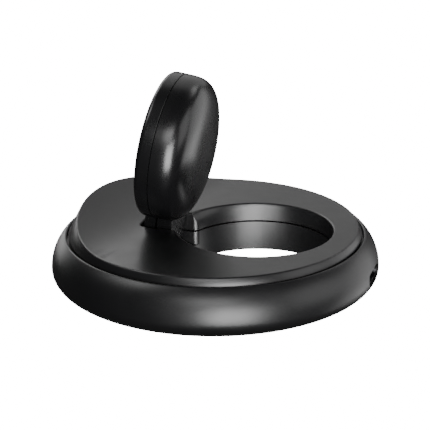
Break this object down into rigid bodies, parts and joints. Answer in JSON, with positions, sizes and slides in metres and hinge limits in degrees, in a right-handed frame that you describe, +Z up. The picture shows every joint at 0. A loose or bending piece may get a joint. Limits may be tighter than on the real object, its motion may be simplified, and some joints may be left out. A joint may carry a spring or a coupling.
{
  "type": "smartwatch charging dock",
  "caption": "Round tabletop charging dock for a smartwatch, with an off-centre opening and a round charging head that folds down into it on a short hinged neck.",
  "frame": {"origin": "centre of the round base, on the table", "axes": "+Z up; +Y from the hinge to the opening and the power port; the hinge axis lies along X"},
  "size_m": [0.078, 0.0778, 0.0502],
  "materials": {
    "housing_plastic": "satin",
    "cover_plastic": "satin",
    "head_plastic": "satin",
    "face_plastic": "gloss",
    "silicone": "matte",
    "steel": "brushed",
    "copper": "enamelled wire",
    "ferrite": "sintered",
    "magnet": "plated",
    "board": "solder mask",
    "lead": "matte"
  },
  "bodies": {
    "base": {"lower_housing": "housing_plastic", "top_cover": "cover_plastic", "foot_ring": "silicone", "ballast_plate": "steel", "circuit_board": "board", "usb_c_shell": "steel", "usb_c_tongue": "board", "housing_screw_1": "steel", "housing_screw_2": "steel", "housing_screw_3": "steel", "housing_screw_4": "steel", "hinge_bracket_left": "steel", "hinge_bracket_right": "steel", "bracket_screw_left": "steel", "bracket_screw_right": "steel", "hinge_axle_left": "steel", "hinge_axle_right": "steel", "lead_base": "lead"},
    "head": {"head_front_shell": "head_plastic", "head_rear_shell": "head_plastic", "charging_face": "face_plastic", "charging_coil": "copper", "ferrite_disc": "ferrite", "alignment_magnet": "magnet", "head_board": "board", "friction_clip_left": "steel", "friction_clip_right": "steel", "head_screw_1": "steel", "head_screw_2": "steel", "head_screw_3": "steel", "lead_head": "lead"}
  },
  "joints": [
    {"name": "head_fold", "type": "hinge", "parent": "base", "child": "head", "pos_m": [0, -0.0124, 0.0099], "axis": [-1, 0, 0], "range_deg": [0, 82]}
  ]
}
